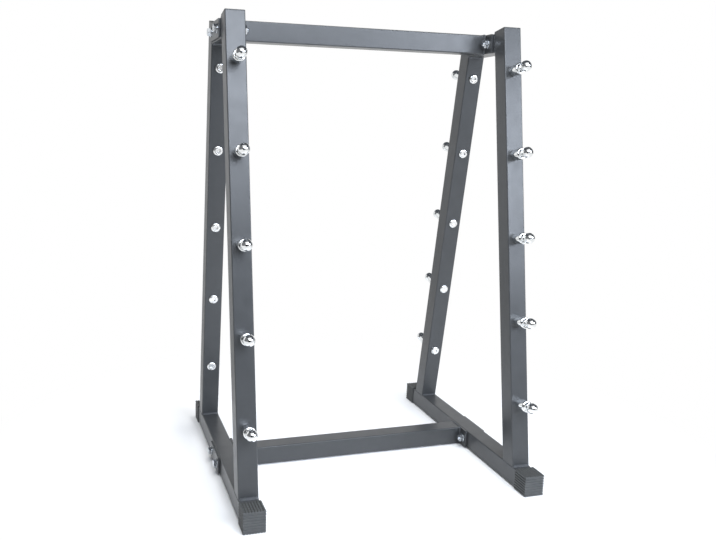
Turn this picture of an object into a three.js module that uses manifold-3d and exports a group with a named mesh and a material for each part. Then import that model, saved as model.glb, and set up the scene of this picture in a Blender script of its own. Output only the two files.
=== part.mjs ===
// Barbell storage rack: a free-standing A-frame for ten fixed barbells.
// Millimetres, +Z up. The origin is on the floor in the middle of the rack, and the front faces -Y.
// Two side frames of square tube lean together towards the top and are bolted to two crossbars.
// Each upright carries five pegs on its outward face, and a bar lies across two pegs of one height.

import * as THREE from 'three';
import { mergeVertices } from 'three/addons/utils/BufferGeometryUtils.js';
import Module from 'manifold-3d';

const wasm = await Module();
wasm.setup();

// Square tube, the same for every member
const tubeWidth = 50;
const tubeWall = 2;
const tubeCorner = 3;
const boreCorner = 1;

// The whole rack
const rackHeight = 1200;
const framesWidth = 792; // over the outer faces of the two side frames
const footReach = 303.5; // from the middle to an upright's outward face, at its foot
const topReach = 111; // the same at its very top
const railLength = 732;

// Fits: the gap left at each weld, seat and slip fit, and how far a cut runs past what it cuts
const seat = 0.3;
const overrun = 5;

// Top spacer and top crossbar: how far they lie below the inner top edge of the uprights
const spacerDrop = 4.5;

// Plug in the top of an upright
const plugThickness = 2.5;
const plugSpigot = 15;
const plugWall = 2.5;

// Ribbed foot cap over the end of a base rail
const capWall = 2.7;
const capEndWall = 3.7;
const capLength = 51;
const capCorner = 3;
const capGrooves = 7;
const capGrooveMargin = 7; // from a corner of the cap to the middle of the nearest groove
const capGrooveWidth = 3.6;
const capGrooveDepth = 2;
const capEndGrooveDepth = 2.2;
const capEndMargin = 4;

// Plates between a side frame and the crossbars, and on the outer side of a frame
const plateThickness = 5;
const outerPlateSetback = 2.5; // from the edge of the tube to the edge of an outer plate
const plateCorner = 4;
const plateMargin = 19; // from a bolt's middle to the end of the plate

// Frame bolts: two through each pair of plates
const boltClearance = 17; // from the side of a crossbar to a bolt's middle
const boltRadius = 6;
const boltHoleRadius = 7;
const boltAcrossFlats = 19;
const boltHeadHeight = 7.5;
const boltNutHeight = 10.5;
const boltTipLength = 4;
const boltChamfer = 1;
const washerRadius = 12;
const washerThickness = 2.5;

// Pegs: a button-headed screw through the upright, a round sleeve and a necked ball at the outer end
const pegCount = 5;
const topPegDrop = 115.5; // along an upright, from its very top to the highest peg
const frontPegRise = 166; // along a front upright, from its foot to the lowest peg
const rearPegRise = 173.5; // along a rear upright, whose lower pegs lie a little higher
const screwRadius = 6;
const screwHoleRadius = 7;
const buttonRadius = 13.5;
const buttonHeight = 5.5;
const buttonCrownRadius = 10;
const buttonRim = 2.2;
const sleeveRadius = 15.3;
const sleeveLength = 36;
const sleeveRound = 3;
const neckRadius = 9.5;
const ballRadius = 14.3;
const ballReach = 58.5; // from the upright's outward face to the ball's centre

// Fineness of the round shapes
const cornerSteps = 2;
const roundSides = 12;
const drillSides = 8;
const hexSides = 6;
const ballSteps = 6;

const frameCentre = (framesWidth - tubeWidth) / 2;

// The cap's wall and its slip fit lift the rail off the floor
const railBottom = capWall + seat;
const railMiddle = railBottom + tubeWidth / 2;
const railTop = railBottom + tubeWidth;

// An upright stands on the rail and ends, with its plug, at the height of the rack
const footLevel = railTop + seat;
const leanSlope = (footReach - topReach) / (rackHeight - footLevel);
const lean = Math.atan(leanSlope);
const uprightReach = (rackHeight - footLevel) / Math.cos(lean);
const uprightLength = uprightReach - plugThickness - seat;

// A foot cap over a rail
const capHalf = tubeWidth / 2 + seat + capWall;
const capGroovePitch = 2 * (capHalf - capGrooveMargin) / (capGrooves - 1);

// The spacer fits between the uprights' inner faces
const innerTopEdge = rackHeight - tubeWidth * Math.sin(lean);
const spacerMiddle = innerTopEdge - spacerDrop - tubeWidth / 2;
const innerFaceReach = footReach - (spacerMiddle - footLevel) * leanSlope - tubeWidth / Math.cos(lean);
const spacerHalf = innerFaceReach - seat / Math.cos(lean);

// Stations across a frame, from the middle of its tube
const plateSeat = tubeWidth / 2 + seat;
const boltSeat = plateSeat + plateThickness + seat;
const crossbarHalf = frameCentre - boltSeat;

// A frame bolt passes beside the crossbar, on each side of it
const boltReach = tubeWidth / 2 + boltClearance;
const plateLength = 2 * (boltReach + plateMargin);
const innerPlateHeight = tubeWidth;
const outerPlateHeight = tubeWidth - 2 * outerPlateSetback;

const ends = [
  { name: 'front', turn: 0, pegs: pegStations(frontPegRise) },
  { name: 'rear', turn: Math.PI, pegs: pegStations(rearPegRise) },
];
const sides = [
  { name: 'left', sign: -1 },
  { name: 'right', sign: 1 },
];
const levels = [
  { name: 'top', height: spacerMiddle },
  { name: 'bottom', height: railMiddle },
];

function framePaint() {
  return new THREE.MeshStandardMaterial({ color: '#6c7078', roughness: 0.45, metalness: 0.35 });
}

function footPlastic() {
  return new THREE.MeshStandardMaterial({ color: '#5c6064', roughness: 0.6, metalness: 0 });
}

function plugPlastic() {
  return new THREE.MeshStandardMaterial({ color: '#33363a', roughness: 0.55, metalness: 0 });
}

function pegChrome() {
  return new THREE.MeshStandardMaterial({ color: '#d9dcdd', roughness: 0.1, metalness: 1 });
}

function boltZinc() {
  return new THREE.MeshStandardMaterial({ color: '#c4c8cb', roughness: 0.28, metalness: 1 });
}

// A closed geometry as a solid that can be cut and joined
function toSolid(geometry) {
  const bare = geometry.clone();
  bare.deleteAttribute('normal');
  bare.deleteAttribute('uv');
  const merged = mergeVertices(bare);
  const corners = merged.index.array;
  const kept = [];
  for (let i = 0; i < corners.length; i += 3) {
    const [a, b, c] = corners.slice(i, i + 3);
    if (a !== b && b !== c && c !== a) {
      kept.push(a, b, c);
    }
  }
  return new wasm.Manifold(new wasm.Mesh({
    numProp: 3,
    vertProperties: merged.attributes.position.array,
    triVerts: new Uint32Array(kept),
  }));
}

function toGeometry(solid) {
  const mesh = solid.getMesh();
  const geometry = new THREE.BufferGeometry();
  geometry.setAttribute('position', new THREE.BufferAttribute(mesh.vertProperties, mesh.numProp));
  geometry.setIndex(new THREE.BufferAttribute(mesh.triVerts, 1));
  geometry.computeVertexNormals();
  return geometry;
}

function namedMesh(name, solid, material) {
  const mesh = new THREE.Mesh(toGeometry(solid), material);
  mesh.name = name;
  return mesh;
}

function roundedOutline(path, width, height, corner) {
  const x = width / 2 - corner;
  const y = height / 2 - corner;
  path.absarc(x, -y, corner, -Math.PI / 2, 0);
  path.absarc(x, y, corner, 0, Math.PI / 2);
  path.absarc(-x, y, corner, Math.PI / 2, Math.PI);
  path.absarc(-x, -y, corner, Math.PI, 1.5 * Math.PI);
  return path;
}

function extruded(outline, depth) {
  return new THREE.ExtrudeGeometry(outline, { depth, bevelEnabled: false, curveSegments: cornerSteps });
}

// Square tube along +Z from the origin
function squareTube(length) {
  const outline = roundedOutline(new THREE.Shape(), tubeWidth, tubeWidth, tubeCorner);
  const boreWidth = tubeWidth - 2 * tubeWall;
  outline.holes.push(roundedOutline(new THREE.Path(), boreWidth, boreWidth, boreCorner));
  return extruded(outline, length);
}

// Slopes both ends of a prism along Z: a point moves along Z by its Y times the end's slope
function mitreEnds(geometry, middle, lowerSlope, upperSlope) {
  const position = geometry.attributes.position;
  for (let i = 0; i < position.count; i += 1) {
    const slope = position.getZ(i) < middle ? lowerSlope : upperSlope;
    position.setZ(i, position.getZ(i) + position.getY(i) * slope);
  }
  return geometry;
}

// A body turned about the Y axis, from pairs of station and radius along it
function turned(profile, segments) {
  const points = profile.map(([station, radius]) => new THREE.Vector2(radius, station));
  return new THREE.LatheGeometry(points, segments);
}

function chamferedHexagon(acrossFlats, from, to, chamfer) {
  const corner = acrossFlats / 2 / Math.cos(Math.PI / hexSides);
  const slope = chamfer / 2;
  const profile = [
    [from, 0],
    [from, corner - chamfer],
    [from + slope, corner],
    [to - slope, corner],
    [to, corner - chamfer],
    [to, 0],
  ];
  return turned(profile, hexSides);
}

// A round cutter along Y, centred, through a plate or a whole tube of the given thickness
function drillAlongY(radius, thickness) {
  return new THREE.CylinderGeometry(radius, radius, thickness + 2 * overrun, drillSides);
}

// The pegs' stations along an upright, evenly spaced from the lowest to the highest
function pegStations(rise) {
  const pitch = (uprightReach - topPegDrop - rise) / (pegCount - 1);
  return Array.from({ length: pegCount }, (_, index) => rise + index * pitch);
}

// An upright stands with its outward face on the local plane y = 0 and its foot cut level
function uprightTube(stations) {
  const tube = squareTube(uprightLength);
  tube.translate(0, tubeWidth / 2, 0);
  mitreEnds(tube, uprightLength / 2, leanSlope, 0);
  let solid = toSolid(tube);
  for (const station of stations) {
    const drill = drillAlongY(screwHoleRadius, tubeWidth);
    drill.translate(0, tubeWidth / 2, station);
    solid = solid.subtract(toSolid(drill));
  }
  return solid;
}

// The plug closes the upright: a flat head over the tube's end and a hollow spigot inside it
function topPlug() {
  const head = extruded(roundedOutline(new THREE.Shape(), tubeWidth, tubeWidth, tubeCorner), plugThickness);
  const spigotWidth = tubeWidth - 2 * tubeWall - 2 * seat;
  const hollowWidth = spigotWidth - 2 * plugWall;
  const outline = roundedOutline(new THREE.Shape(), spigotWidth, spigotWidth, boreCorner);
  outline.holes.push(roundedOutline(new THREE.Path(), hollowWidth, hollowWidth, boreCorner));
  const spigot = extruded(outline, plugSpigot + plugThickness / 2);
  spigot.translate(0, 0, -plugSpigot);
  return toSolid(head).add(toSolid(spigot));
}

// A peg along Y, outward positive, with the upright's outward face at zero
function peg() {
  const buttonSeat = -tubeWidth - seat;
  const buttonTop = buttonSeat - buttonHeight;
  const profile = [
    [buttonTop, 0],
    [buttonTop, buttonCrownRadius],
    [buttonSeat - buttonRim, buttonRadius],
    [buttonSeat, buttonRadius],
    [buttonSeat, screwRadius],
    [seat, screwRadius],
    [seat, sleeveRadius],
    [sleeveLength - sleeveRound, sleeveRadius],
    [sleeveLength, sleeveRadius - sleeveRound],
    [sleeveLength, neckRadius],
  ];
  const neckAngle = -Math.acos(neckRadius / ballRadius);
  for (let step = 0; step <= ballSteps; step += 1) {
    const angle = neckAngle + (Math.PI / 2 - neckAngle) * (step / ballSteps);
    const radius = step === ballSteps ? 0 : ballRadius * Math.cos(angle);
    profile.push([ballReach + ballRadius * Math.sin(angle), radius]);
  }
  return toSolid(turned(profile, roundSides));
}

// Evenly spaced groove centres across a face, about its middle
function grooveCentres() {
  return Array.from({ length: capGrooves }, (_, index) => (index - (capGrooves - 1) / 2) * capGroovePitch);
}

// Points of one ribbed face, from corner to corner, before it is turned to its side of the cap
function ribbedFace() {
  const points = [new THREE.Vector2(capCorner - capHalf, -capHalf)];
  for (const centre of grooveCentres()) {
    points.push(new THREE.Vector2(centre - capGrooveWidth / 2, -capHalf));
    points.push(new THREE.Vector2(centre, capGrooveDepth - capHalf));
    points.push(new THREE.Vector2(centre + capGrooveWidth / 2, -capHalf));
  }
  points.push(new THREE.Vector2(capHalf - capCorner, -capHalf));
  return points;
}

function ribbedOutline() {
  const centre = new THREE.Vector2();
  const outline = [];
  for (let quarter = 0; quarter < 4; quarter += 1) {
    const face = ribbedFace().map((point) => point.rotateAround(centre, quarter * Math.PI / 2));
    outline.push(...face);
  }
  return new THREE.Shape(outline);
}

// The cap slips over the end of the rail. Its grooves run along the rail on all four faces,
// and across the closed end. Built along Z, with the closed end at the far end.
function footCap() {
  const body = extruded(ribbedOutline(), capLength);
  const cavityWidth = tubeWidth + 2 * seat;
  const cavity = extruded(roundedOutline(new THREE.Shape(), cavityWidth, cavityWidth, tubeCorner), capLength);
  cavity.translate(0, 0, -capEndWall);
  let solid = toSolid(body).subtract(toSolid(cavity));
  for (const centre of grooveCentres()) {
    const groove = new THREE.Shape([
      new THREE.Vector2(centre - capGrooveWidth / 2, capLength),
      new THREE.Vector2(centre, capLength - capEndGrooveDepth),
      new THREE.Vector2(centre + capGrooveWidth / 2, capLength),
    ]);
    const cutter = extruded(groove, 2 * (capHalf - capEndMargin));
    cutter.translate(0, 0, capEndMargin - capHalf);
    cutter.rotateY(Math.PI / 2);
    solid = solid.subtract(toSolid(cutter));
  }
  return solid;
}

// Cuts the two frame bolts' holes along X through a solid of the given thickness and middle
function drillForBolts(solid, middle, thickness) {
  let drilled = solid;
  for (const sign of [-1, 1]) {
    const drill = drillAlongY(boltHoleRadius, thickness);
    drill.rotateZ(Math.PI / 2);
    drill.translate(middle, sign * boltReach, 0);
    drilled = drilled.subtract(toSolid(drill));
  }
  return drilled;
}

// A plate of the given height against the side of a frame: its length along Y, its thickness along X from zero
function plate(height) {
  const outline = roundedOutline(new THREE.Shape(), plateLength, height, plateCorner);
  const blank = extruded(outline, plateThickness);
  blank.rotateX(Math.PI / 2);
  blank.rotateZ(Math.PI / 2);
  return drillForBolts(toSolid(blank), plateThickness / 2, plateThickness);
}

// A tube along Y, centred, with both ends leaning inwards towards the top by the given slope
function crossTube(length, slope) {
  const tube = squareTube(length);
  tube.translate(0, 0, -length / 2);
  mitreEnds(tube, 0, slope, -slope);
  tube.rotateX(Math.PI / 2);
  return toSolid(tube);
}

// A frame bolt along X with its head at the negative end: head, washer, shank, washer, nut, tip
function frameBolt() {
  const headSeat = -boltSeat - washerThickness;
  const nutSeat = boltSeat + washerThickness;
  const tip = nutSeat + boltNutHeight + boltTipLength;
  const shank = turned([
    [headSeat, 0],
    [headSeat, washerRadius],
    [-boltSeat, washerRadius],
    [-boltSeat, boltRadius],
    [boltSeat, boltRadius],
    [boltSeat, washerRadius],
    [nutSeat, washerRadius],
    [nutSeat, boltRadius],
    [tip - boltChamfer, boltRadius],
    [tip, boltRadius - boltChamfer],
    [tip, 0],
  ], roundSides);
  const overlap = washerThickness / 2;
  const head = chamferedHexagon(boltAcrossFlats, headSeat - boltHeadHeight, headSeat + overlap, boltChamfer);
  const nut = chamferedHexagon(boltAcrossFlats, nutSeat - overlap, nutSeat + boltNutHeight, boltChamfer);
  for (const geometry of [shank, head, nut]) {
    geometry.rotateZ(-Math.PI / 2);
  }
  return toSolid(shank).add(toSolid(head)).add(toSolid(nut));
}

// An upright with its plug and pegs, standing on the rail and leaning towards the middle
function uprightGroup(prefix, stations) {
  const group = new THREE.Group();
  group.position.set(0, -footReach, footLevel);
  group.rotation.x = -lean;
  group.add(namedMesh(`${prefix}_upright`, uprightTube(stations), framePaint()));

  const plug = namedMesh(`${prefix}_top_plug`, topPlug(), plugPlastic());
  plug.position.set(0, tubeWidth / 2, uprightLength + seat);
  group.add(plug);

  stations.forEach((station, index) => {
    const mesh = namedMesh(`${prefix}_peg_${index + 1}`, peg(), pegChrome());
    mesh.position.z = station;
    mesh.rotation.x = Math.PI;
    group.add(mesh);
  });
  return group;
}

function footCapMesh(prefix) {
  const mesh = namedMesh(`${prefix}_foot_cap`, footCap(), footPlastic());
  mesh.position.set(0, -railLength / 2 - seat - capEndWall + capLength, railMiddle);
  mesh.rotation.x = Math.PI / 2;
  return mesh;
}

// One side frame, in the plane x = 0. Its sign says on which side of the rack it stands.
function sideFrame(side) {
  const frame = new THREE.Group();
  const rail = drillForBolts(crossTube(railLength, 0), 0, tubeWidth);
  const spacer = drillForBolts(crossTube(2 * spacerHalf, leanSlope), 0, tubeWidth);
  const railMesh = namedMesh(`${side.name}_base_rail`, rail, framePaint());
  railMesh.position.z = railMiddle;
  const spacerMesh = namedMesh(`${side.name}_top_spacer`, spacer, framePaint());
  spacerMesh.position.z = spacerMiddle;
  frame.add(railMesh, spacerMesh);

  for (const end of ends) {
    const half = new THREE.Group();
    half.rotation.z = end.turn;
    const prefix = `${side.name}_${end.name}`;
    half.add(uprightGroup(prefix, end.pegs), footCapMesh(prefix));
    frame.add(half);
  }

  for (const level of levels) {
    const places = [['inner', -side.sign, innerPlateHeight], ['outer', side.sign, outerPlateHeight]];
    for (const [place, sign, height] of places) {
      const mesh = namedMesh(`${side.name}_${level.name}_${place}_plate`, plate(height), framePaint());
      const low = sign > 0 ? plateSeat : -plateSeat - plateThickness;
      mesh.position.set(low, 0, level.height);
      frame.add(mesh);
    }
    for (const end of ends) {
      const mesh = namedMesh(`${side.name}_${level.name}_${end.name}_bolt`, frameBolt(), boltZinc());
      const away = end.turn > 0 ? 1 : -1;
      mesh.position.set(0, away * boltReach, level.height);
      mesh.rotation.z = side.sign > 0 ? Math.PI : 0;
      frame.add(mesh);
    }
  }
  return frame;
}

function crossbar(level) {
  const mesh = namedMesh(`${level.name}_crossbar`, crossTube(2 * crossbarHalf, 0), framePaint());
  mesh.position.z = level.height;
  mesh.rotation.z = Math.PI / 2;
  return mesh;
}

const rack = new THREE.Group();
rack.name = 'barbell_rack';
for (const side of sides) {
  const frame = sideFrame(side);
  frame.position.x = side.sign * frameCentre;
  rack.add(frame);
}
for (const level of levels) {
  rack.add(crossbar(level));
}

export default rack;
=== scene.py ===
import math

import bmesh
import bpy
from mathutils import Matrix, Vector


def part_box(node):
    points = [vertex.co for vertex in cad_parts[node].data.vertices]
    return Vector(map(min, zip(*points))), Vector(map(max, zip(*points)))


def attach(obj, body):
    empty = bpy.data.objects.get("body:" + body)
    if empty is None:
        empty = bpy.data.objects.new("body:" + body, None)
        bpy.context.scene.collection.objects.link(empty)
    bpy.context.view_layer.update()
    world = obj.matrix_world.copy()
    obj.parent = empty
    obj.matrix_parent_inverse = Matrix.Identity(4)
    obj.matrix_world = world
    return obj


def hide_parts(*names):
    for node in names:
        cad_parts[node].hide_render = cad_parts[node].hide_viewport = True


# A barbell storage rack: two leaning side frames of square tube, two crossbars and twenty pegs.
# Metres, +Z up, the front faces -Y. Every piece is placed from the frame's own nodes.
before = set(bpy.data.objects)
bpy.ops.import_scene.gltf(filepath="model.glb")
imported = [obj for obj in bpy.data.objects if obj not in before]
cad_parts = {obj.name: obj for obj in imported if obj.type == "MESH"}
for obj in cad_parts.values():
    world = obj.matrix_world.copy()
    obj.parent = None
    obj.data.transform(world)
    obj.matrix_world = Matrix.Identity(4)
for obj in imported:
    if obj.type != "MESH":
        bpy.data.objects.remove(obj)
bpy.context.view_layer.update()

# A millimetre, for the patterns of the finishes
MM = 0.001

# Square tube
TUBE_WIDTH = 0.050
TUBE_WALL = 0.002
TUBE_CORNER = 0.003
BORE_CORNER = 0.001
CORNER_STEPS = 6

# The gap that the nodes leave at each weld and seat, and how much of it a piece fills at each of its ends
NODE_GAP = 0.0003
GAP_FILL = 0.00025

# Slip between a shank and its bore, and between a thread and its nut
SLIP = 0.0003
THREAD_SLIP = 0.0001

# How far a cutter reaches from the middle of what it cuts
CUTTER_REACH = 0.055

# Pegs, measured along their axis from the outward face of the upright
PEG_REACH = 0.0728
SCREW_RADIUS = 0.006
SCREW_HOLE_RADIUS = 0.007
SCREW_END = 0.050
SCREW_TIP_CHAMFER = 0.001
BUTTON_RADIUS = 0.0135
BUTTON_HEIGHT = 0.0055
BUTTON_RIM = 0.0018
BUTTON_FLAT_RADIUS = 0.0080
BUTTON_EDGE = 0.0003
BUTTON_STEPS = 10
SOCKET_ACROSS_FLATS = 0.010
SOCKET_DEPTH = 0.0036
SOCKET_MOUTH_RADIUS = 0.0061
SOCKET_MOUTH_DEPTH = 0.0003
SLEEVE_ROOT_RADIUS = 0.0135
SLEEVE_RADIUS = 0.0153
SLEEVE_LENGTH = 0.036
SLEEVE_ROUND = 0.003
SLEEVE_STEPS = 8
NECK_RADIUS = 0.0097
NECK_FLARE = 0.0016
NECK_STEPS = 12
BALL_RADIUS = 0.0143
BALL_REACH = 0.0585
BALL_STEPS = 20
BALL_BORE_SPARE = 0.002
BALL_MOUTH_GROWTH = 0.0007
BALL_MOUTH_DEPTH = 0.0006

# How far each peg is turned about its axis, in degrees, by its number and by its upright
PEG_SPIN = 37
UPRIGHT_SPIN = 11

# Frame bolts, measured along their axis from the middle of the tube
BOLT_SEAT = 0.0306
BOLT_RADIUS = 0.006
BOLT_HOLE_RADIUS = 0.007
BOLT_ACROSS_FLATS = 0.019
BOLT_HEAD_HEIGHT = 0.0075
BOLT_NUT_HEIGHT = 0.0105
BOLT_TIP_LENGTH = 0.004
BOLT_TIP_CHAMFER = 0.001
NUT_MOUTH_GROWTH = 0.0008
NUT_MOUTH_DEPTH = 0.0008
THREAD_PITCH = 0.00175
THREAD_DEPTH = 0.0007
THREAD_INSIDE = 0.012
THREAD_RUN_IN = 0.0002
WASHER_RADIUS = 0.012
WASHER_THICKNESS = 0.0025
WASHER_EDGE = 0.0003

# The shares of a pitch at which the thread's root and crest lie
THREAD_ROOT = 0.45
THREAD_CREST = 0.92

# How far each bolt is turned about its axis, in degrees, by its number and by its level
BOLT_SPIN = 23
LEVEL_SPINS = {"top": 13, "bottom": 40}

# Hexagons: their end circle as a share of the width across flats, and the slope of the chamfer in degrees
HEXAGON_CIRCLE = 0.955
HEXAGON_CHAMFER = 30

# Plates, with the share of their rounded edge at which its middle ring lies
PLATE_CORNER = 0.004
PLATE_EDGE = 0.0006
PLATE_EDGE_SHARE = 0.3

# Foot caps
CAP_WALL = 0.0027
CAP_SLIP = 0.0003
CAP_END_WALL = 0.0037
CAP_CORNER = 0.003
CAP_GROOVES = 7
CAP_GROOVE_PITCH = 0.007
CAP_GROOVE_WIDTH = 0.0044
CAP_GROOVE_DEPTH = 0.0024
CAP_END_GROOVE_RADIUS = 0.0023
CAP_END_GROOVE_DEPTH = 0.0022
CAP_END_GROOVE_SIDES = 24
CAP_EDGE = 0.0012
CAP_EDGE_STEPS = 5
CAP_GROOVE_STEPS = 8
CAP_CORNER_STEPS = 6
CAP_MOUTH_OVERRUN = 0.01

# The rings of a cap's lip: how far in and how high each lies
CAP_LIP = ((0.0007, 0.0), (0.0002, 0.0003), (0.0, 0.0008))

# Top plugs
PLUG_SPIGOT = 0.015
PLUG_WALL = 0.0025
PLUG_SLACK = 0.0004
PLUG_HEAD = 0.0028
PLUG_FOOT_CHAMFER = 0.0002
PLUG_EDGE = 0.0008
PLUG_EDGE_STEPS = 5

# Weld beads: their legs, how deep their root lies, and how far they run on to a tube's rounded edges
BEAD_LEG = 0.0036
FOOT_BEAD_LEG = 0.0046
CROSSBAR_BEAD_LEG = 0.0025
BEAD_ROOT = 0.0008
BEAD_SPREAD = 0.0006

# A bead's section, from flat at 0 to round at 1, its ripples, a slower sway in radians a metre that makes
# them uneven, and the taper at its ends
BEAD_ROUNDNESS = 0.45
BEAD_STEPS = 6
BEAD_RIPPLE = 0.0024
BEAD_RIPPLE_SHARE = 0.10
BEAD_SWAY_SHARE = 0.07
BEAD_SWAY_RATE = 610
BEAD_TAPER = 0.003
BEAD_TIP = 0.0004
RINGS_IN_RIPPLE = 5
RINGS_IN_CROSSBAR_RIPPLE = 4
LEAST_BEAD_RINGS = 8
CROSSBAR_BEAD_CORNER_STEPS = 5

# The smaller beads in the slits beside a tube's rounded edges: how far from the tube's middle and below its
# face they start, and how far they run past the corners
EDGE_BEAD_LEG = 0.0029
EDGE_BEAD_REACH = 0.0226
EDGE_BEAD_SINK = 0.0024
EDGE_BEAD_OVERRUN = 0.003

# What touching faces are kept apart by, so that no two of them lie in one plane
TOUCH = 0.00005

# The sides of turned parts, a multiple of six because a hexagon has as many points, and of holes and washers
TURNED_SIDES = 72
HOLE_SIDES = 48

# Edges that turn by more than this, in degrees, stay sharp
SHARP_TURN = 32

# The floor, and the distances from its middle over which it goes over to plain white
FLOOR_REACH = 9
FLOOR_DEPTH = 0.02
FLOOR_FADE = (0.45, 1.1)

# The plain light that comes from all round
WORLD_FILL = 0.30

# The part of a noise's range that a colour or a gloss is spread over
NOISE_SPAN = (0.3, 0.7)

SIDES = (("left", -1), ("right", 1))
ENDS = (("front", -1), ("rear", 1))
LEVELS = ("top", "bottom")
PEG_NUMBERS = range(1, 6)
UP = Vector((0, 0, 1))


def linear(hex_colour):
    """An sRGB hex colour as the linear RGBA that Blender's sockets take."""
    channels = []
    for start in (1, 3, 5):
        value = int(hex_colour[start:start + 2], 16) / 255
        channels.append(value / 12.92 if value <= 0.04045 else ((value + 0.055) / 1.055) ** 2.4)
    return (*channels, 1.0)


def add_node(tree, kind, values=None, links=None, **settings):
    """Adds a node to a tree, with its settings, the values of its sockets and what is linked to them."""
    made = tree.nodes.new(kind)
    for name, value in settings.items():
        setattr(made, name, value)
    for socket, value in (values or {}).items():
        made.inputs[socket].default_value = value
    for socket, source in (links or {}).items():
        tree.links.new(source, made.inputs[socket])
    return made


def new_material(name):
    """An empty node material and its tree."""
    material = bpy.data.materials.new(name)
    material.use_nodes = True
    material.node_tree.nodes.clear()
    return material, material.node_tree


def finish_of(name, colours, metallic, roughness, grain, grain_depth, mottle, patch):
    """A finish with a mottled colour, an uneven gloss and a grained surface, drawn in the piece's own metres.

    colours are the darker and lighter hex colour of the mottle, and roughness is the same pair for the gloss.
    grain, mottle and patch are real sizes in millimetres, and so is the depth of the grain.
    """
    material, tree = new_material(name)
    place = add_node(tree, "ShaderNodeTexCoord").outputs["Object"]
    tone = add_node(tree, "ShaderNodeTexNoise", {"Scale": 1 / (mottle * MM), "Detail": 4.0, "Roughness": 0.6},
                    {"Vector": place})
    colour = add_node(tree, "ShaderNodeValToRGB", links={"Fac": tone.outputs["Fac"]})
    for stop, position, hex_colour in zip(colour.color_ramp.elements, NOISE_SPAN, colours):
        stop.position = position
        stop.color = linear(hex_colour)
    patches = add_node(tree, "ShaderNodeTexNoise", {"Scale": 1 / (patch * MM), "Detail": 3.0},
                       {"Vector": place})
    gloss = add_node(tree, "ShaderNodeMapRange",
                     {"From Min": NOISE_SPAN[0], "From Max": NOISE_SPAN[1],
                      "To Min": roughness[0], "To Max": roughness[1]},
                     {"Value": patches.outputs["Fac"]})
    peel = add_node(tree, "ShaderNodeTexNoise", {"Scale": 1 / (grain * MM), "Detail": 2.0}, {"Vector": place})
    bump = add_node(tree, "ShaderNodeBump", {"Strength": 1.0, "Distance": grain_depth * MM},
                    {"Height": peel.outputs["Fac"]})
    shader = add_node(tree, "ShaderNodeBsdfPrincipled", {"Metallic": metallic},
                      {"Base Color": colour.outputs["Color"], "Roughness": gloss.outputs["Result"],
                       "Normal": bump.outputs["Normal"]})
    add_node(tree, "ShaderNodeOutputMaterial", links={"Surface": shader.outputs["BSDF"]})
    return material


# Steel tube, blasted and coated with an oven-baked polyester powder that holds metal flake. It gives a slate
# grey satin: an even, slightly blue grey with a soft broad highlight and the faint orange peel of baked
# powder. Real peel is 1 to 2 mm across and a few hundredths deep, and it is drawn at 3 mm so that it shows.
powder_coated_steel = finish_of(
    "powder_coated_steel", ("#424446", "#46484a"), metallic=0.20, roughness=(0.30, 0.36),
    grain=3, grain_depth=0.06, mottle=45, patch=30)

# The same coating over a weld, where the powder lies rougher.
# Painted sheen: its colour is lighter than the tube's, standing in for the light that the rail's top reflects
# by each foot.
weld_coat_with_painted_sheen = finish_of(
    "weld_coat_with_painted_sheen", ("#505356", "#5e6165"), metallic=0.20, roughness=(0.34, 0.46),
    grain=1.6, grain_depth=0.20, mottle=8, patch=10)

# Polyethylene, injection moulded in a spark-eroded mould. It gives the dull grey of a foot cap, with an even
# fine grain. The grain is about 0.3 mm and it is drawn at 1.2 mm.
moulded_polyethylene = finish_of(
    "moulded_polyethylene", ("#444647", "#4f5151"), metallic=0.0, roughness=(0.50, 0.62),
    grain=1.2, grain_depth=0.10, mottle=20, patch=14)

# The same plastic in the darker batch of the plugs, from a smoother mould.
moulded_dark_polyethylene = finish_of(
    "moulded_dark_polyethylene", ("#27292b", "#323436"), metallic=0.0, roughness=(0.42, 0.54),
    grain=1.2, grain_depth=0.08, mottle=20, patch=14)

# Turned steel, polished and plated with bright chromium. It gives a mirror with a cool white tint, hazed a
# little by handling. The haze lies in patches of about 6 mm.
bright_chrome_plate = finish_of(
    "bright_chrome_plate", ("#e4e7e8", "#eef0f1"), metallic=1.0, roughness=(0.05, 0.10),
    grain=4, grain_depth=0.01, mottle=12, patch=6)

# Cold-headed steel, plated with chromium as it came from the die, without polishing. It gives the screw
# heads a pale, even sheen that blurs what they reflect. The unevenness lies in patches of about 3 mm.
satin_chrome_plate = finish_of(
    "satin_chrome_plate", ("#eef0f1", "#f6f7f8"), metallic=1.0, roughness=(0.20, 0.28),
    grain=3, grain_depth=0.01, mottle=10, patch=3)

# Cold-headed steel, zinc plated in a barrel and passivated clear. It gives a pale, faintly blue metal with a
# soft gloss, uneven from piece rubbing on piece. The uneven patches are 2 to 4 mm.
barrel_zinc_plate = finish_of(
    "barrel_zinc_plate", ("#d4d9de", "#e6eaee"), metallic=1.0, roughness=(0.18, 0.28),
    grain=1.1, grain_depth=0.03, mottle=4, patch=3)


def stitch(bm, low, high):
    """Faces between two rings of vertices, either of which may be a single point."""
    count = max(len(low), len(high))
    for i in range(count):
        j = (i + 1) % count
        if len(low) == 1:
            bm.faces.new((low[0], high[j], high[i]))
        elif len(high) == 1:
            bm.faces.new((low[i], low[j], high[0]))
        else:
            bm.faces.new((low[i], low[j], high[j], high[i]))


def skin(rings, closed=False):
    """A solid through rings of points. Its two ends are faces, or meet each other where it is closed."""
    bm = bmesh.new()
    rows = [[bm.verts.new(point) for point in ring] for ring in rings]
    for low, high in zip(rows, rows[1:]):
        stitch(bm, low, high)
    if closed:
        stitch(bm, rows[-1], rows[0])
    else:
        for row in (rows[0], rows[-1]):
            if len(row) > 1:
                bm.faces.new(row)
    bmesh.ops.recalc_face_normals(bm, faces=bm.faces)
    return bm


def to_mesh(name, *parts):
    """One mesh of several solids."""
    mesh = bpy.data.meshes.new(name)
    whole = bmesh.new()
    for part in parts:
        part.to_mesh(mesh)
        part.free()
        whole.from_mesh(mesh)
    whole.to_mesh(mesh)
    whole.free()
    return mesh


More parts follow.
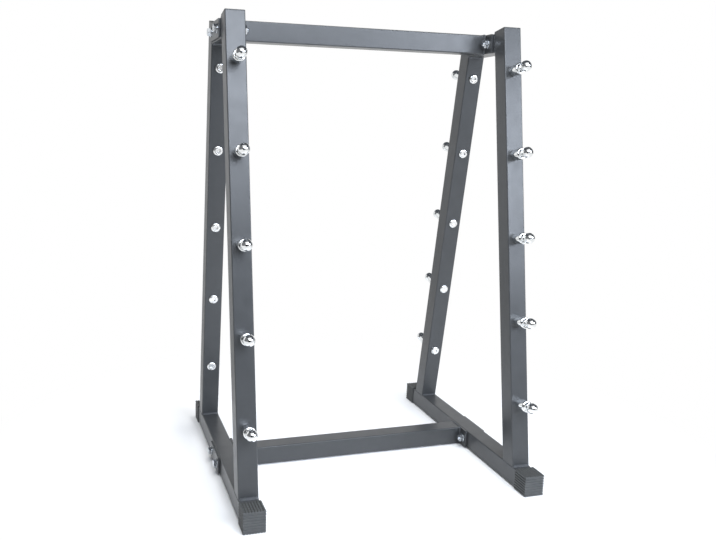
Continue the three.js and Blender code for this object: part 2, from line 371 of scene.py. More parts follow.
def add_object(name, data):
    """A new object in the scene."""
    made = bpy.data.objects.new(name, data)
    bpy.context.scene.collection.objects.link(made)
    return made


def carved(mesh, cutters):
    """The mesh with the cutters' solids taken out of it. The result takes over its name."""
    body = add_object("carved_body", mesh)
    tool = add_object("carving_tool", to_mesh("carving_tool", *cutters))
    modifier = body.modifiers.new("carve", "BOOLEAN")
    modifier.operation = "DIFFERENCE"
    modifier.solver = "EXACT"
    modifier.object = tool
    bpy.context.view_layer.update()
    result = bpy.data.meshes.new_from_object(body.evaluated_get(bpy.context.evaluated_depsgraph_get()))
    name = mesh.name
    for used in (mesh, tool.data):
        bpy.data.meshes.remove(used)
    result.name = name
    return result


def quarter_turns(steps, first=0):
    """The angles of a quarter round in even steps, from nothing to a right angle."""
    return [math.pi / 2 * step / steps for step in range(first, steps + 1)]


def rounded_outline(width, height, corner, steps=CORNER_STEPS):
    """Points of a rectangle with rounded corners, anticlockwise, as pairs."""
    points = []
    for quarter, (sign_x, sign_y) in enumerate(((1, 1), (-1, 1), (-1, -1), (1, -1))):
        for angle in quarter_turns(steps):
            angle += quarter * math.pi / 2
            points.append((sign_x * (width / 2 - corner) + corner * math.cos(angle),
                           sign_y * (height / 2 - corner) + corner * math.sin(angle)))
    return points


def square_ring(width, corner, z, slope=0.0):
    """A square ring with rounded corners about Z, tilted by the slope along Y."""
    return [Vector((x, y, z + y * slope)) for x, y in rounded_outline(width, width, corner)]


def circle(radius, z, sides=TURNED_SIDES):
    """A round ring about the Z axis, or the one point where its radius is zero."""
    if radius == 0:
        return [Vector((0, 0, z))]
    turns = [2 * math.pi * i / sides for i in range(sides)]
    return [Vector((radius * math.cos(turn), radius * math.sin(turn), z)) for turn in turns]


def hexagon_ring(across_flats, z, rise=0.0):
    """A ring along the edge of a hexagon about Z. The rise lifts it towards the hexagon's six corners."""
    ring = []
    for i in range(TURNED_SIDES):
        turn = 2 * math.pi * i / TURNED_SIDES
        past_flat = (turn + math.pi / 6) % (math.pi / 3) - math.pi / 6
        reach = across_flats / 2 / math.cos(past_flat)
        past_circle = reach - across_flats / 2 * HEXAGON_CIRCLE
        ring.append(Vector((reach * math.cos(turn), reach * math.sin(turn), z + past_circle * rise)))
    return ring


def hexagon(across_flats, low, high, high_chamfer=True):
    """Four rings of a hexagon about Z, whose ends are chamfered to a circle as a turned bar is."""
    inner = across_flats / 2 * HEXAGON_CIRCLE
    fall = math.tan(math.radians(HEXAGON_CHAMFER))
    lower = hexagon_ring(across_flats, low, fall)
    if high_chamfer:
        upper = hexagon_ring(across_flats, high, -fall)
    else:
        upper = hexagon_ring(across_flats, high - TOUCH)
    return [circle(inner, low), lower, upper, circle(inner, high)]


def rod(radius, start, end, sides=HOLE_SIDES):
    """A round cutter from one point to another."""
    axis = Vector(end) - Vector(start)
    bm = skin([circle(radius, 0, sides), circle(radius, axis.length, sides)])
    bm.transform(Matrix.Translation(start) @ axis.to_track_quat("Z", "Y").to_matrix().to_4x4())
    return bm


def bead(path, leg_a, leg_b, closed=False, leg=BEAD_LEG):
    """A rippled fillet weld along a path. leg_a and leg_b are the directions of its legs at each point."""
    rings = []
    length = 0.0
    total = sum((b - a).length for a, b in zip(path, path[1:]))
    for i, point in enumerate(path):
        if i:
            length += (point - path[i - 1]).length
        ripple = BEAD_RIPPLE_SHARE * math.sin(2 * math.pi * length / BEAD_RIPPLE)
        size = leg * (1 + ripple + BEAD_SWAY_SHARE * math.sin(length * BEAD_SWAY_RATE))
        if not closed:
            from_end = min(length, total - length)
            size *= math.sqrt(min(1.0, (from_end + BEAD_TIP) / BEAD_TAPER))
        a, b = leg_a[i], leg_b[i]
        ring = [point - BEAD_ROOT * (a + b)]
        for step in range(BEAD_STEPS + 1):
            share = step / BEAD_STEPS
            turn = share * math.pi / 2
            straight = a * (1 - share) + b * share
            round_out = a * math.cos(turn) + b * math.sin(turn)
            ring.append(point + size * straight.lerp(round_out, BEAD_ROUNDNESS))
        rings.append(ring)
    return skin(rings, closed)


def straight_bead(start, end, a, b, leg=BEAD_LEG):
    """A bead on a straight line, with a few rings for every ripple."""
    start, end = Vector(start), Vector(end)
    count = max(LEAST_BEAD_RINGS, int((end - start).length / (BEAD_RIPPLE / RINGS_IN_RIPPLE)))
    path = [start.lerp(end, i / count) for i in range(count + 1)]
    return bead(path, [Vector(a)] * len(path), [Vector(b)] * len(path), leg=leg)


def settle(mesh):
    """Smooths a mesh over its rounds and keeps its real edges sharp."""
    bm = bmesh.new()
    bm.from_mesh(mesh)
    bmesh.ops.recalc_face_normals(bm, faces=bm.faces)
    limit = math.radians(SHARP_TURN)
    for face in bm.faces:
        face.smooth = True
    for edge in bm.edges:
        edge.smooth = len(edge.link_faces) == 2 and edge.calc_face_angle() < limit
    bm.to_mesh(mesh)
    bm.free()


def add_piece(name, mesh, material, nodes=(), place=None):
    """Puts a piece on the rack: where it stands, its finish, and the nodes it stands for."""
    if not mesh.materials:
        settle(mesh)
        mesh.materials.append(material)
    piece = add_object(name, mesh)
    if place is not None:
        piece.matrix_world = place
    flats = piece.modifiers.new("even_flats", "WEIGHTED_NORMAL")
    flats.keep_sharp = True
    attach(piece, "root")
    if nodes:
        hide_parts(*nodes)


def points_of(node):
    """The places of a node's vertices."""
    return [vertex.co.copy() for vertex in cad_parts[node].data.vertices]


def middle_of(node):
    """The middle of a node's box."""
    low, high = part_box(node)
    return (low + high) / 2


def basis(x_axis, y_axis, z_axis, origin):
    """A placement from three axes and an origin."""
    return Matrix.Translation(origin) @ Matrix((x_axis, y_axis, z_axis)).transposed().to_4x4()


class Upright:
    """Where an upright stands. Its local axes are across, outward and along, from its foot's outward face."""

    def __init__(self, side, end):
        self.prefix = f"{side}_{end}"
        sign = dict(ENDS)[end]
        node = f"{self.prefix}_upright"
        self.along = (middle_of(f"{self.prefix}_peg_5") - middle_of(f"{self.prefix}_peg_1")).normalized()
        self.outward = sign * Vector((0, self.along.z, -self.along.y))
        self.across = self.outward.cross(self.along)
        points = points_of(node)
        face = max(point.dot(self.outward) for point in points)
        foot = min(point.z for point in points)
        self.foot = Vector((middle_of(node).x, (face - self.outward.z * foot) / self.outward.y, foot))
        self.length = max(point.dot(self.along) for point in points) - self.foot.dot(self.along)
        self.slope = abs(self.along.y / self.along.z)
        self.place = basis(self.across, self.outward, self.along, self.foot)

    def peg_place(self, number):
        """The placement of a peg, with its axis along local Z and zero on the upright's outward face."""
        points = points_of(f"{self.prefix}_peg_{number}")
        tip = max(point.dot(self.outward) for point in points)
        stations = [point.dot(self.along) for point in points]
        station = (min(stations) + max(stations)) / 2
        origin = (self.outward * (tip - PEG_REACH) + self.along * station
                  + Vector((middle_of(f"{self.prefix}_peg_{number}").x, 0, 0)))
        spin = Matrix.Rotation(math.radians(PEG_SPIN * number + UPRIGHT_SPIN * len(self.prefix)), 4, "Z")
        return basis(-self.across, self.along, self.outward, origin) @ spin


uprights = {(side, end): Upright(side, end) for side, _ in SIDES for end, _ in ENDS}


def tube(name, low, high, low_slope, high_slope, drills=()):
    """A square tube along Z, its ends tilted by a slope along Y, with round holes drilled through it."""
    bore = TUBE_WIDTH - 2 * TUBE_WALL
    rings = [square_ring(TUBE_WIDTH, TUBE_CORNER, low, low_slope),
             square_ring(TUBE_WIDTH, TUBE_CORNER, high, high_slope),
             square_ring(bore, BORE_CORNER, high, high_slope), square_ring(bore, BORE_CORNER, low, low_slope)]
    mesh = to_mesh(name, skin(rings, closed=True))
    return carved(mesh, [rod(*drill) for drill in drills]) if drills else mesh


def bolt_y(side, level, end):
    """How far along Y a frame bolt lies."""
    return middle_of(f"{side}_{level}_{end}_bolt").y


def add_uprights():
    """The four leaning tubes, drilled for their pegs."""
    half = TUBE_WIDTH / 2
    for (side, _), upright in uprights.items():
        drills = []
        for number in PEG_NUMBERS:
            station = (upright.peg_place(number).translation - upright.foot).dot(upright.along)
            drills.append((SCREW_HOLE_RADIUS, (0, -CUTTER_REACH, station), (0, CUTTER_REACH, station)))
        # The foot is cut level, a node gap lower than the node's, so that it rests on the rail
        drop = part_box(f"{upright.prefix}_upright")[0].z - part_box(f"{side}_base_rail")[1].z
        low = half * upright.slope - drop + TOUCH
        mesh = tube(f"{upright.prefix}_upright_tube", low, upright.length, -upright.slope, 0.0, drills)
        mesh.transform(Matrix.Translation((0, -half, 0)))
        mesh.transform(upright.place)
        add_piece(mesh.name, mesh, powder_coated_steel, [f"{upright.prefix}_upright"])


def add_rails_and_spacers():
    """The tubes along Y: a base rail and a top spacer for each side frame, drilled for the frame bolts."""
    # A tube's own Z axis laid along world Y, with its own Y axis up
    lie = basis(Vector((-1, 0, 0)), UP, Vector((0, 1, 0)), Vector())
    for side, _ in SIDES:
        slope = uprights[side, "front"].slope
        for node, level, end_slope, fill in ((f"{side}_base_rail", "bottom", 0.0, 0.0),
                                             (f"{side}_top_spacer", "top", slope, GAP_FILL)):
            low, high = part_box(node)
            reach = (high.y - low.y) / 2 - TUBE_WIDTH / 2 * end_slope + fill
            stations = [bolt_y(side, level, end) for end, _ in ENDS]
            drills = [(BOLT_HOLE_RADIUS, (-CUTTER_REACH, 0, station), (CUTTER_REACH, 0, station))
                      for station in stations]
            mesh = tube(f"{node}_tube", -reach, reach, end_slope, -end_slope, drills)
            mesh.transform(Matrix.Translation(((low.x + high.x) / 2, 0, (low.z + high.z) / 2)) @ lie)
            add_piece(mesh.name, mesh, powder_coated_steel, [node])


def add_crossbars():
    """The two tubes along X, whose ends come up to the inner plates."""
    # A tube's own Z axis laid along world X, with its own Y axis up
    lie = basis(Vector((0, 1, 0)), UP, Vector((1, 0, 0)), Vector())
    for level in LEVELS:
        low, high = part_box(f"{level}_crossbar")
        reach = (high.x - low.x) / 2 + GAP_FILL
        mesh = tube(f"{level}_crossbar_tube", -reach, reach, 0.0, 0.0)
        mesh.transform(Matrix.Translation((0, (low.y + high.y) / 2, (low.z + high.z) / 2)) @ lie)
        add_piece(mesh.name, mesh, powder_coated_steel, [f"{level}_crossbar"])


def add_plates():
    """The bolted plates on both sides of each frame. Both faces of a plate come up to their neighbours."""
    for side, _ in SIDES:
        for level in LEVELS:
            for where in ("inner", "outer"):
                node = f"{side}_{level}_{where}_plate"
                low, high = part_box(node)
                size = high - low
                face = size.x / 2 + GAP_FILL
                partway = PLATE_EDGE * PLATE_EDGE_SHARE
                rings = []
                for inset, x in ((PLATE_EDGE, -face), (partway, -face + partway), (0, -face + PLATE_EDGE),
                                 (0, face - PLATE_EDGE), (partway, face - partway), (PLATE_EDGE, face)):
                    outline = rounded_outline(size.y - 2 * inset, size.z - 2 * inset, PLATE_CORNER - inset)
                    rings.append([Vector((x, y, z)) for y, z in outline])
                stations = [bolt_y(side, level, end) for end, _ in ENDS]
                drills = [rod(BOLT_HOLE_RADIUS, (-CUTTER_REACH, station, 0), (CUTTER_REACH, station, 0))
                          for station in stations]
                mesh = carved(to_mesh(f"{node}_steel", skin(rings)), drills)
                mesh.transform(Matrix.Translation((low + high) / 2))
                add_piece(mesh.name, mesh, powder_coated_steel, [node])


def add_foot_welds():
    """Beads all round each upright's foot: two across the rail and two along its rounded upper edges."""
    for (side, end), upright in uprights.items():
        rail_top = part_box(f"{side}_base_rail")[1].z
        half = TUBE_WIDTH / 2 - TUBE_CORNER + BEAD_SPREAD
        out = Vector((0, upright.outward.y, 0)).normalized()
        drop = (upright.foot.z - rail_top) * upright.slope
        outer_y = upright.foot.y + out.y * drop
        inner_y = outer_y - out.y * TUBE_WIDTH / upright.along.z
        x = upright.foot.x
        beads = [straight_bead((x - half, y, rail_top), (x + half, y, rail_top), away, upright.along, leg)
                 for y, away, leg in ((outer_y, out, FOOT_BEAD_LEG), (inner_y, -out, BEAD_LEG))]
        z = rail_top - EDGE_BEAD_SINK
        first, last = outer_y + out.y * EDGE_BEAD_OVERRUN, inner_y - out.y * EDGE_BEAD_OVERRUN
        for turn in (-1, 1):
            aside = x + turn * EDGE_BEAD_REACH
            beads.append(straight_bead((aside, first, z), (aside, last, z), (turn, 0, 0), UP, EDGE_BEAD_LEG))
        mesh = to_mesh(f"{side}_{end}_foot_weld", *beads)
        add_piece(mesh.name, mesh, weld_coat_with_painted_sheen)


def add_spacer_welds():
    """Beads all round each end of a top spacer, against the upright's inner face."""
    for (side, end), upright in uprights.items():
        low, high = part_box(f"{side}_top_spacer")
        half = TUBE_WIDTH / 2 - TUBE_CORNER + BEAD_SPREAD
        x = upright.foot.x
        face = upright.foot - upright.outward * TUBE_WIDTH
        inward = Vector((0, -math.copysign(1, upright.outward.y), 0))
        beads, corners = [], []
        for z, up in ((high.z, 1), (low.z, -1)):
            y = face.y + (z - face.z) * upright.along.y / upright.along.z
            beads.append(straight_bead((x - half, y, z), (x + half, y, z), inward, upright.along * up))
            corners.append(Vector((0, y, z)) - inward * EDGE_BEAD_SINK)
        past = (corners[0] - corners[1]).normalized() * EDGE_BEAD_OVERRUN
        for turn in (-1, 1):
            aside = Vector((x + turn * EDGE_BEAD_REACH, 0, 0))
            beads.append(straight_bead(corners[0] + aside + past, corners[1] + aside - past, (turn, 0, 0),
                                       inward, EDGE_BEAD_LEG))
        mesh = to_mesh(f"{side}_{end}_spacer_weld", *beads)
        add_piece(mesh.name, mesh, weld_coat_with_painted_sheen)


def add_crossbar_welds():
    """A bead round each end of a crossbar, against its plate."""
    outline = rounded_outline(TUBE_WIDTH, TUBE_WIDTH, TUBE_CORNER, CROSSBAR_BEAD_CORNER_STEPS)
    flat = TUBE_WIDTH / 2 - TUBE_CORNER
    for level in LEVELS:
        low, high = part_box(f"{level}_crossbar")
        middle = Vector((0, (low.y + high.y) / 2, (low.z + high.z) / 2))
        for side, sign in SIDES:
            x = high.x + NODE_GAP if sign > 0 else low.x - NODE_GAP
            path, away = [], []
            for (y0, z0), (y1, z1) in zip(outline, outline[1:] + outline[:1]):
                start, end = Vector((x, y0, z0)), Vector((x, y1, z1))
                count = max(1, round((end - start).length / (BEAD_RIPPLE / RINGS_IN_CROSSBAR_RIPPLE)))
                for i in range(count):
                    point = start.lerp(end, i / count)
                    path.append(point + middle)
                    core = Vector((0, max(-flat, min(flat, point.y)), max(-flat, min(flat, point.z))))
                    away.append((Vector((0, point.y, point.z)) - core).normalized())
            inward = [Vector((-sign, 0, 0))] * len(path)
            mesh = to_mesh(f"{side}_{level}_crossbar_weld",
                           bead(path, away, inward, closed=True, leg=CROSSBAR_BEAD_LEG))
            add_piece(mesh.name, mesh, weld_coat_with_painted_sheen)


def peg_screw_mesh():
    """A button-headed socket screw. Its head lies on the inner face of the upright."""
    seat = -TUBE_WIDTH - TOUCH
    top = seat - BUTTON_HEIGHT
    rings = [hexagon_ring(SOCKET_ACROSS_FLATS, top + SOCKET_DEPTH),
             hexagon_ring(SOCKET_ACROSS_FLATS, top + SOCKET_MOUTH_DEPTH),
             circle(SOCKET_MOUTH_RADIUS, top), circle(BUTTON_FLAT_RADIUS, top)]
    for turn in quarter_turns(BUTTON_STEPS, first=1):
        radius = BUTTON_FLAT_RADIUS + (BUTTON_RADIUS - BUTTON_FLAT_RADIUS) * math.sin(turn)
        rings.append(circle(radius, top + (BUTTON_HEIGHT - BUTTON_RIM) * (1 - math.cos(turn))))
    rings += [circle(BUTTON_RADIUS, seat - BUTTON_EDGE), circle(BUTTON_RADIUS - BUTTON_EDGE, seat),
              circle(SCREW_RADIUS, seat), circle(SCREW_RADIUS, SCREW_END - SCREW_TIP_CHAMFER),
              circle(SCREW_RADIUS - SCREW_TIP_CHAMFER, SCREW_END)]
    return to_mesh("peg_screw", skin(rings))


def peg_sleeve_mesh():
    """A turned sleeve where the bar lies. It swells from the upright and is rounded at its outer end."""
    bore = SCREW_RADIUS + SLIP
    shoulder = SLEEVE_LENGTH - SLEEVE_ROUND
    rings = []
    for step in range(SLEEVE_STEPS + 1):
        share = step / SLEEVE_STEPS
        swell = (SLEEVE_RADIUS - SLEEVE_ROOT_RADIUS) * math.sin(share * math.pi / 2)
        rings.append(circle(SLEEVE_ROOT_RADIUS + swell, TOUCH + share * (shoulder - TOUCH)))
    for turn in quarter_turns(SLEEVE_STEPS, first=1):
        rings.append(circle(SLEEVE_RADIUS - SLEEVE_ROUND * (1 - math.cos(turn)),
                            shoulder + SLEEVE_ROUND * math.sin(turn)))
    rings += [circle(bore, SLEEVE_LENGTH), circle(bore, TOUCH)]
    return to_mesh("peg_sleeve", skin(rings, closed=True))


def peg_ball_nut_mesh():
    """A ball on a waisted neck with a blind thread, screwed on the peg's screw."""
    low = SLEEVE_LENGTH + TOUCH
    neck_end = NECK_RADIUS + NECK_FLARE
    start = -math.acos(neck_end / BALL_RADIUS)
    high = BALL_REACH + BALL_RADIUS * math.sin(start)
    bore = SCREW_RADIUS + THREAD_SLIP
    rings = [circle(bore, SCREW_END + BALL_BORE_SPARE), circle(bore, low + BALL_MOUTH_DEPTH),
             circle(SCREW_RADIUS + BALL_MOUTH_GROWTH, low)]
    for step in range(NECK_STEPS):
        share = step / NECK_STEPS
        waist = NECK_RADIUS + NECK_FLARE * (2 * share - 1) ** 2
        rings.append(circle(waist, low + share * (high - low)))
    for step in range(BALL_STEPS + 1):
        turn = start + (math.pi / 2 - start) * step / BALL_STEPS
        radius = 0 if step == BALL_STEPS else BALL_RADIUS * math.cos(turn)
        rings.append(circle(radius, BALL_REACH + BALL_RADIUS * math.sin(turn)))
    return to_mesh("peg_ball_nut", skin(rings))


def add_pegs():
    """The screw, sleeve and ball nut of each of the twenty pegs."""
    parts = (("screw", peg_screw_mesh(), satin_chrome_plate),
             ("sleeve", peg_sleeve_mesh(), bright_chrome_plate),
             ("ball_nut", peg_ball_nut_mesh(), bright_chrome_plate))
    for upright in uprights.values():
        for number in PEG_NUMBERS:
            node = f"{upright.prefix}_peg_{number}"
            for part, mesh, finish in parts:
                add_piece(f"{node}_{part}", mesh, finish, [node], upright.peg_place(number))


def bolt_screw_mesh():
    """A hexagon-headed bolt along Z, with its head at the lower end and its thread showing past the nut."""
    head_seat = -BOLT_SEAT - WASHER_THICKNESS
    tip = BOLT_SEAT + WASHER_THICKNESS + BOLT_NUT_HEIGHT + BOLT_TIP_LENGTH
    thread_start = BOLT_SEAT - THREAD_INSIDE
    rings = hexagon(BOLT_ACROSS_FLATS, head_seat - BOLT_HEAD_HEIGHT, head_seat, high_chamfer=False)
    rings.append(circle(BOLT_RADIUS, head_seat))
    rings.append(circle(BOLT_RADIUS, thread_start))
    turns = int((tip - thread_start - BOLT_TIP_CHAMFER) / THREAD_PITCH)
    for turn in range(turns):
        base = thread_start + THREAD_RUN_IN + turn * THREAD_PITCH
        rings.append(circle(BOLT_RADIUS - THREAD_DEPTH, base + THREAD_PITCH * THREAD_ROOT))
        rings.append(circle(BOLT_RADIUS, base + THREAD_PITCH * THREAD_CREST))
    rings.append(circle(BOLT_RADIUS - BOLT_TIP_CHAMFER, tip))
    return to_mesh("bolt_screw", skin(rings))


def bolt_washer_mesh(low):
    """A plain washer along Z, from low."""
    high = low + WASHER_THICKNESS - TOUCH
    bore = BOLT_RADIUS + SLIP
    corners = ((WASHER_RADIUS - WASHER_EDGE, low), (WASHER_RADIUS, low + WASHER_EDGE),
               (WASHER_RADIUS, high - WASHER_EDGE), (WASHER_RADIUS - WASHER_EDGE, high),
               (bore, high), (bore, low))
    rings = [circle(radius, z, HOLE_SIDES) for radius, z in corners]
    return to_mesh("bolt_washer", skin(rings, closed=True))


def bolt_nut_mesh():
    """A hexagon nut along Z, on its washer."""
    low = BOLT_SEAT + WASHER_THICKNESS
    high = low + BOLT_NUT_HEIGHT
    mouth, bore = BOLT_RADIUS + NUT_MOUTH_GROWTH, BOLT_RADIUS + THREAD_SLIP
    rings = hexagon(BOLT_ACROSS_FLATS, low, high)
    rings += [circle(mouth, high), circle(bore, high - NUT_MOUTH_DEPTH),
              circle(bore, low + NUT_MOUTH_DEPTH), circle(mouth, low)]
    return to_mesh("bolt_nut", skin(rings, closed=True))


def add_frame_bolts():
    """The bolts through the frames, with their heads outwards. A node is longer on the side of its nut."""
    meshes = {"screw": bolt_screw_mesh(),
              "head_washer": bolt_washer_mesh(-BOLT_SEAT - WASHER_THICKNESS + TOUCH),
              "nut_washer": bolt_washer_mesh(BOLT_SEAT + TOUCH), "nut": bolt_nut_mesh()}
    for side, sign in SIDES:
        rail_x = middle_of(f"{side}_base_rail").x
        inward = Vector((-sign, 0, 0))
        for level in LEVELS:
            for number, (end, _) in enumerate(ENDS):
                node = f"{side}_{level}_{end}_bolt"
                low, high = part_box(node)
                origin = Vector((rail_x, (low.y + high.y) / 2, (low.z + high.z) / 2))
                spin = Matrix.Rotation(math.radians(BOLT_SPIN * number + LEVEL_SPINS[level]), 4, "Z")
                place = basis(Vector((0, -sign, 0)), UP, inward, origin) @ spin
                for part, mesh in meshes.items():
                    add_piece(f"{node}_{part}", mesh, barrel_zinc_plate, [node], place)


def ribbed_outline(half):
    """The outline of a foot cap: rounded corners, and rounded grooves across each side."""
    side = []
    for index in range(CAP_GROOVES):
        centre = (index - (CAP_GROOVES - 1) / 2) * CAP_GROOVE_PITCH
        for step in range(CAP_GROOVE_STEPS + 1):
            share = step / CAP_GROOVE_STEPS
            depth = CAP_GROOVE_DEPTH * (0.5 - 0.5 * math.cos(2 * math.pi * share))
            side.append((centre + CAP_GROOVE_WIDTH * (share - 0.5), depth))
    points = []
    for quarter in range(4):
        # The side lies at low Y here, and is turned to its own place with the corner that follows it
        turn = quarter * math.pi / 2
        local = [(along, -(half - depth)) for along, depth in side]
        for angle in quarter_turns(CAP_CORNER_STEPS):
            angle -= math.pi / 2
            local.append((half - CAP_CORNER + CAP_CORNER * math.cos(angle),
                          -(half - CAP_CORNER) + CAP_CORNER * math.sin(angle)))
        for x, y in local:
            points.append((x * math.cos(turn) - y * math.sin(turn), x * math.sin(turn) + y * math.cos(turn)))
    return points


def foot_cap_mesh():
    """A foot cap along Z, with its open lip at zero and its closed end at the far end."""
    low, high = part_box("left_front_foot_cap")
    length = high.y - low.y
    half = TUBE_WIDTH / 2 + CAP_SLIP + CAP_WALL
    outline = ribbed_outline(half)
    levels = list(CAP_LIP)
    for turn in quarter_turns(CAP_EDGE_STEPS):
        levels.append((CAP_EDGE * (1 - math.cos(turn)), length - CAP_EDGE * (1 - math.sin(turn))))
    rings = [[Vector((x * (1 - inset / half), y * (1 - inset / half), z)) for x, y in outline]
             for inset, z in levels]
    body = to_mesh("foot_cap", skin(rings))
    cavity_width = TUBE_WIDTH + 2 * TOUCH
    cavity = skin([square_ring(cavity_width, TUBE_CORNER, z)
                   for z in (-CAP_MOUTH_OVERRUN, length - CAP_END_WALL)])
    rise = length + CAP_END_GROOVE_RADIUS - CAP_END_GROOVE_DEPTH
    grooves = []
    for index in range(CAP_GROOVES):
        y = (index - (CAP_GROOVES - 1) / 2) * CAP_GROOVE_PITCH
        grooves.append(rod(CAP_END_GROOVE_RADIUS, (-CUTTER_REACH, y, rise), (CUTTER_REACH, y, rise),
                           CAP_END_GROOVE_SIDES))
    return carved(body, [cavity, *grooves])


def add_foot_caps():
    """The four ribbed caps that the rack stands on."""
    mesh = foot_cap_mesh()
    for side, end in uprights:
        node = f"{side}_{end}_foot_cap"
        low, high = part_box(node)
        sign = dict(ENDS)[end]
        lip = low.y if sign > 0 else high.y
        origin = Vector(((low.x + high.x) / 2, lip, (low.z + high.z) / 2))
        out = Vector((0, sign, 0))
        place = basis(out.cross(UP), UP, out, origin)
        add_piece(f"{node}_moulding", mesh, moulded_polyethylene, [node], place)


def top_plug_mesh():
    """A plug along Z, with the tube's end at zero, its flat head above and its spigot below."""
    spigot = TUBE_WIDTH - 2 * TUBE_WALL - PLUG_SLACK
    hollow = spigot - 2 * PLUG_WALL
    rings = [square_ring(hollow, BORE_CORNER, -TOUCH), square_ring(hollow, BORE_CORNER, -PLUG_SPIGOT),
             square_ring(spigot, BORE_CORNER, -PLUG_SPIGOT), square_ring(spigot, BORE_CORNER, TOUCH),
             square_ring(TUBE_WIDTH - 2 * PLUG_FOOT_CHAMFER, TUBE_CORNER, TOUCH),
             square_ring(TUBE_WIDTH, TUBE_CORNER, TOUCH + PLUG_FOOT_CHAMFER)]
    for turn in quarter_turns(PLUG_EDGE_STEPS):
        width = TUBE_WIDTH - 2 * PLUG_EDGE * (1 - math.cos(turn))
        rings.append(square_ring(width, TUBE_CORNER, PLUG_HEAD - PLUG_EDGE * (1 - math.sin(turn))))
    return to_mesh("top_plug", skin(rings))


def add_top_plugs():
    """The plugs in the tops of the uprights."""
    mesh = top_plug_mesh()
    for upright in uprights.values():
        origin = upright.foot + upright.along * upright.length - upright.outward * TUBE_WIDTH / 2
        place = basis(upright.across, upright.outward, upright.along, origin)
        add_piece(f"{upright.prefix}_top_plug_moulding", mesh, moulded_dark_polyethylene,
                  [f"{upright.prefix}_top_plug"], place)


def seen_share(tree):
    """One for rays from the camera, a reflection or glass, and zero for the light that falls on the rack."""
    rays = add_node(tree, "ShaderNodeLightPath")
    seen = rays.outputs["Is Camera Ray"]
    for kind in ("Is Glossy Ray", "Is Transmission Ray"):
        either = add_node(tree, "ShaderNodeMath", links={0: seen, 1: rays.outputs[kind]}, operation="MAXIMUM")
        seen = either.outputs[0]
    return seen


def add_floor():
    """A plain pale floor. It takes the rack's shadow, and far from the rack it goes over to plain white."""
    corners = [(sign_x * FLOOR_REACH, sign_y * FLOOR_REACH)
               for sign_x, sign_y in ((-1, -1), (1, -1), (1, 1), (-1, 1))]
    mesh = to_mesh("floor", skin([[Vector((x, y, z)) for x, y in corners] for z in (-FLOOR_DEPTH, 0)]))
    floor = add_object("floor", mesh)
    material, tree = new_material("matt_white_floor")
    place = add_node(tree, "ShaderNodeTexCoord").outputs["Object"]
    far = add_node(tree, "ShaderNodeVectorMath", links={0: place}, operation="LENGTH").outputs["Value"]
    fade = add_node(tree, "ShaderNodeMapRange", {"From Min": FLOOR_FADE[0], "From Max": FLOOR_FADE[1]},
                    {"Value": far}, interpolation_type="SMOOTHSTEP")
    share = add_node(tree, "ShaderNodeMath", links={0: seen_share(tree), 1: fade.outputs["Result"]},
                     operation="MULTIPLY")
    paint = add_node(tree, "ShaderNodeBsdfDiffuse", {"Color": linear("#f9fafb")})
    white = add_node(tree, "ShaderNodeEmission", {"Color": linear("#ffffff"), "Strength": 1.0})
    mixed = add_node(tree, "ShaderNodeMixShader",
                     links={"Fac": share.outputs[0], 1: paint.outputs["BSDF"], 2: white.outputs["Emission"]})
    add_node(tree, "ShaderNodeOutputMaterial", links={"Surface": mixed.outputs["Shader"]})
    mesh.materials.append(material)


def add_world():
    """White behind the rack and in its reflections, and a plain pale light from all round."""
    world = bpy.data.worlds.new("studio")
    bpy.context.scene.world = world
    world.use_nodes = True
    tree = world.node_tree
    tree.nodes.clear()
    seen = seen_share(tree)
    fill = add_node(tree, "ShaderNodeBackground", {"Color": linear("#fafcff"), "Strength": WORLD_FILL})
    white = add_node(tree, "ShaderNodeBackground", {"Color": linear("#ffffff"), "Strength": 1.0})
    mixed = add_node(tree, "ShaderNodeMixShader",
                     links={"Fac": seen, 1: fill.outputs["Background"], 2: white.outputs["Background"]})
    add_node(tree, "ShaderNodeOutputWorld", links={"Surface": mixed.outputs["Shader"]})


def add_softbox(name, position, aim, width, height, radiance, colour="#ffffff", glossy=True):
    """A rectangular softbox of an even radiance, unseen by the camera. Reflections see it only if glossy."""
    lamp = bpy.data.lights.new(name, "AREA")
    lamp.shape = "RECTANGLE"
    lamp.size = width
    lamp.size_y = height
    lamp.energy = radiance * math.pi * width * height
    lamp.color = linear(colour)[:3]
    box = add_object(name, lamp)
    box.location = position
    box.rotation_euler = (Vector(aim) - Vector(position)).to_track_quat("-Z", "Y").to_euler()
    box.visible_camera = False
    box.visible_glossy = glossy


def add_softboxes():
    """Two softboxes in front, of a faintly blue white, and a broad weaker one overhead."""
    cool_white = "#eaf2ff"
    add_softbox("left_softbox", position=(0.05, -3.0, 2.4), aim=(-0.2, 0.0, 0.8),
                width=2.2, height=1.5, radiance=9.6, colour=cool_white)
    add_softbox("right_softbox", position=(2.3, -3.0, 1.72), aim=(0.2, 0.0, 0.8),
                width=1.8, height=1.3, radiance=12.0, colour=cool_white)
    add_softbox("overhead_softbox", position=(0.0, -0.2, 3.4), aim=(-0.1, 0.0, 0.0),
                width=2.6, height=1.8, radiance=6.5, glossy=False)


def wall(start, end, low, high):
    """The corners of an upright flag that stands from one point of the floor plan to another."""
    return (*start, low), (*end, low), (*end, high), (*start, high)


def add_flag(name, corners, colour):
    """A flag: a studio card of one even tone, dark or white, that only reflections see."""
    mesh = bpy.data.meshes.new(name)
    mesh.from_pydata([Vector(corner) for corner in corners], [], [(0, 1, 2, 3)])
    flag = add_object(name, mesh)
    material, tree = new_material(name)
    glow = add_node(tree, "ShaderNodeEmission", {"Color": linear(colour), "Strength": 1.0})
    add_node(tree, "ShaderNodeOutputMaterial", links={"Surface": glow.outputs["Emission"]})
    mesh.materials.append(material)
    for ray in ("camera", "diffuse", "shadow", "transmission", "volume_scatter"):
        setattr(flag, f"visible_{ray}", False)


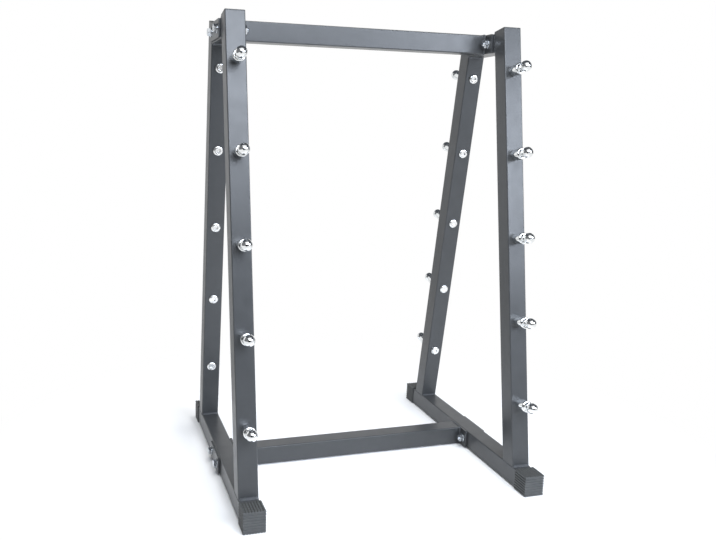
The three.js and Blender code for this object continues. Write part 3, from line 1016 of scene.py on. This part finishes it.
def add_diffusers():
    """Two white cloths: one upright behind the front softboxes, and one that runs on from its upper edge."""
    left, right, front, rear = -3.0, 1.8, -3.4, -1.1
    low, high, rear_high = 1.75, 3.9, 3.95
    add_flag("front_diffuser", wall((left, front), (right, front), low, high), "#ffffff")
    add_flag("overhead_diffuser", ((left, front, high), (right, front, high),
                                   (right, rear, rear_high), (left, rear, rear_high)), "#ffffff")


def add_camera_stand():
    """The dark camera and its stand, just behind the viewpoint."""
    left, right, y = -1.6, -0.4, -2.1
    low, high = 0.02, 1.35
    add_flag("camera_stand", wall((left, y), (right, y), low, high), "#242527")


def add_room():
    """The room: dark in front, paler at both sides and on its ceiling, with a pale strip at the rear."""
    left, right, front, rear, height = -4, 5, -5, 6, 4
    side_rear = 2
    add_flag("room_front", wall((left, front), (right, front), 0, height), "#303134")
    for side, x in (("left", left), ("right", right)):
        add_flag(f"room_{side}", wall((x, front), (x, side_rear), 0, height), "#77787a")
    # The pale strip rises from the floor, which is as pale from there to the rack
    strip_left, strip_right, strip_y = -1.75, -0.7, 4.8
    near_left, near_right, near_y = -1.5, -0.5, 0.45
    lift = 0.004
    strip_tone = "#d0d2d4"
    add_flag("room_rear", wall((strip_left, strip_y), (strip_right, strip_y), 0, height), strip_tone)
    add_flag("floor_rear", ((near_left, near_y, lift), (near_right, near_y, lift),
                            (strip_right, strip_y, lift), (strip_left, strip_y, lift)), strip_tone)
    add_flag("room_ceiling", ((left, front, height), (right, front, height),
                              (right, rear, height), (left, rear, height)), "#505358")


def add_camera():
    """The photograph's own viewpoint, fitted to the edges of the tubes."""
    width_px, height_px = 716, 540
    focal_px, axis_x, axis_y = 745.418, 301.063, 266.086
    place = Vector((-0.731678, -1.916941, 0.928423))
    yaw, pitch, roll = (math.radians(angle) for angle in (16.536, 10.51, -1.226))
    forward = Vector((math.sin(yaw) * math.cos(pitch), math.cos(yaw) * math.cos(pitch), -math.sin(pitch)))
    right = Vector((math.cos(yaw), -math.sin(yaw), 0))
    down = forward.cross(right)
    rolled_right = right * math.cos(roll) + down * math.sin(roll)
    rolled_down = down * math.cos(roll) - right * math.sin(roll)
    lens = bpy.data.cameras.new("camera")
    lens.sensor_fit = "HORIZONTAL"
    lens.sensor_width = 36
    lens.lens = focal_px * lens.sensor_width / width_px
    lens.shift_x = (width_px / 2 - axis_x) / width_px
    lens.shift_y = (axis_y - height_px / 2) / width_px
    camera = add_object("camera", lens)
    camera.matrix_world = basis(rolled_right, -rolled_down, -forward, place)
    bpy.context.scene.camera = camera


add_uprights()
add_rails_and_spacers()
add_crossbars()
add_plates()
add_foot_welds()
add_spacer_welds()
add_crossbar_welds()
add_pegs()
add_frame_bolts()
add_foot_caps()
add_top_plugs()

add_floor()
add_world()
add_softboxes()
add_diffusers()
add_camera_stand()
add_room()
add_camera()

bpy.context.scene.view_settings.view_transform = "Standard"
